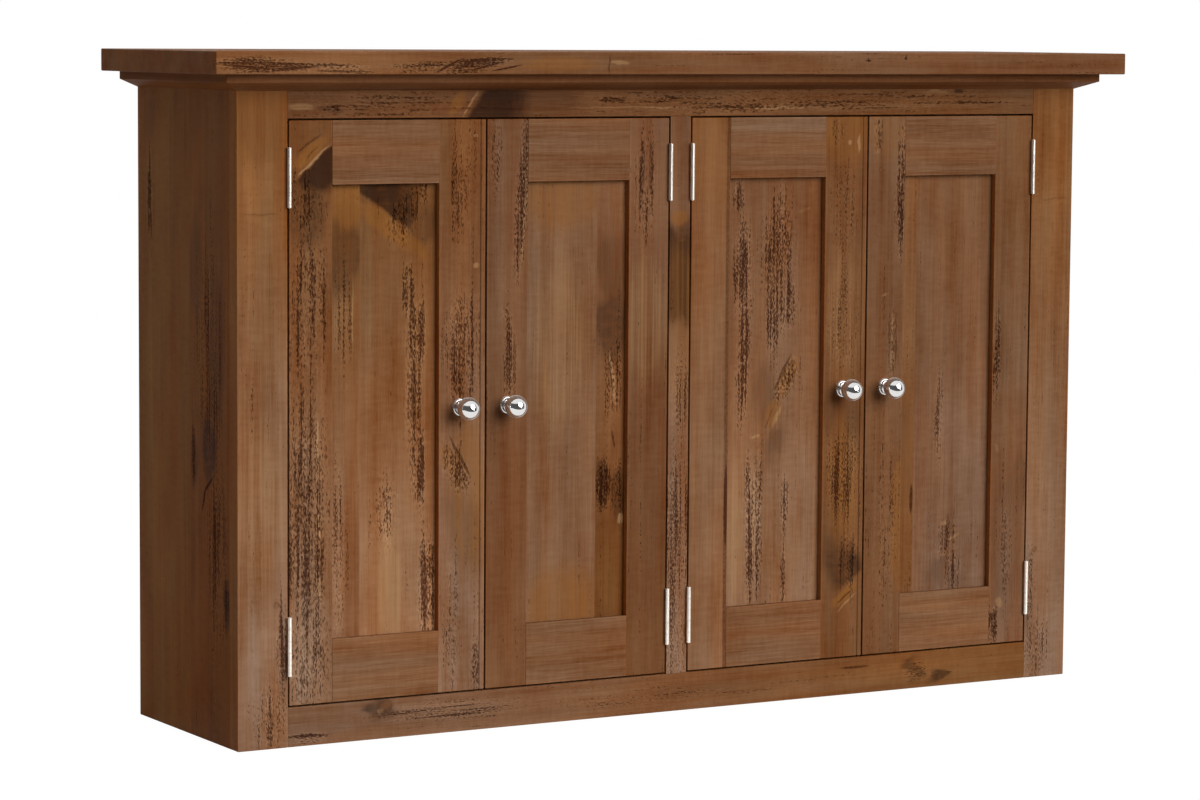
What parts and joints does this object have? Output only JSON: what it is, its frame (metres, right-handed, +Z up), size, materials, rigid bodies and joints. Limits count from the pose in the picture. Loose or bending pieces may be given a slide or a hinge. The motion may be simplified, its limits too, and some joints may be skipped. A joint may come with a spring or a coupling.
{
  "type": "wall unit",
  "caption": "Low wide wall cupboard in rough-sawn stained pine: overhanging moulded top, face frame and paired panelled doors on butt hinges with ball knobs.",
  "frame": {"origin": "middle of the whole unit's footprint, at the height of its underside", "axes": "+X to the viewer's right, +Y into the wall behind, +Z up; the doors face -Y"},
  "size_m": [1.2, 0.31, 0.76],
  "materials": {
    "stained_pine": "rough-sawn pine, stained mid brown and waxed",
    "polished_chrome": "polished plating",
    "bright_steel": "bright zinc-plated steel",
    "catch_plastic": "moulded brown plastic with steel poles"
  },
  "bodies": {
    "carcass": {"side_left": "stained_pine", "side_right": "stained_pine", "bottom_board": "stained_pine", "centre_divider": "stained_pine", "back_boards": "stained_pine", "fixing_rails": "stained_pine", "door_stops": "stained_pine", "face_stile_left": "stained_pine", "face_stile_right": "stained_pine", "face_top_rail": "stained_pine", "face_bottom_rail": "stained_pine", "face_mullion": "stained_pine", "top_board": "stained_pine", "cornice_front": "stained_pine", "cornice_left": "stained_pine", "cornice_right": "stained_pine", "shelf_left": "stained_pine", "shelf_right": "stained_pine", "shelf_pins": "bright_steel", "hinge_frame_leaves": "bright_steel", "hinge_pins": "bright_steel", "hinge_frame_screws": "bright_steel", "magnet_catches": "catch_plastic"},
    "door_1": {"door_1_hinge_stile": "stained_pine", "door_1_meeting_stile": "stained_pine", "door_1_top_rail": "stained_pine", "door_1_bottom_rail": "stained_pine", "door_1_panel": "stained_pine", "door_1_hinge_leaves": "bright_steel", "door_1_screws": "bright_steel", "door_1_strike_plate": "bright_steel", "door_1_knob": "polished_chrome"},
    "door_2": {"door_2_hinge_stile": "stained_pine", "door_2_meeting_stile": "stained_pine", "door_2_top_rail": "stained_pine", "door_2_bottom_rail": "stained_pine", "door_2_panel": "stained_pine", "door_2_hinge_leaves": "bright_steel", "door_2_screws": "bright_steel", "door_2_strike_plate": "bright_steel", "door_2_knob": "polished_chrome"},
    "door_3": {"door_3_hinge_stile": "stained_pine", "door_3_meeting_stile": "stained_pine", "door_3_top_rail": "stained_pine", "door_3_bottom_rail": "stained_pine", "door_3_panel": "stained_pine", "door_3_hinge_leaves": "bright_steel", "door_3_screws": "bright_steel", "door_3_strike_plate": "bright_steel", "door_3_knob": "polished_chrome"},
    "door_4": {"door_4_hinge_stile": "stained_pine", "door_4_meeting_stile": "stained_pine", "door_4_top_rail": "stained_pine", "door_4_bottom_rail": "stained_pine", "door_4_panel": "stained_pine", "door_4_hinge_leaves": "bright_steel", "door_4_screws": "bright_steel", "door_4_strike_plate": "bright_steel", "door_4_knob": "polished_chrome"}
  },
  "joints": [
    {"name": "door_1_hinge", "type": "hinge", "parent": "carcass", "child": "door_1", "pos_m": [-0.495, -0.1138, 0.3655], "axis": [0, 0, -1], "range_deg": [0, 170]},
    {"name": "door_2_hinge", "type": "hinge", "parent": "carcass", "child": "door_2", "pos_m": [-0.0145, -0.1138, 0.3655], "axis": [0, 0, 1], "range_deg": [0, 84]},
    {"name": "door_3_hinge", "type": "hinge", "parent": "carcass", "child": "door_3", "pos_m": [0.0145, -0.1138, 0.3655], "axis": [0, 0, -1], "range_deg": [0, 84]},
    {"name": "door_4_hinge", "type": "hinge", "parent": "carcass", "child": "door_4", "pos_m": [0.495, -0.1138, 0.3655], "axis": [0, 0, 1], "range_deg": [0, 170]}
  ]
}
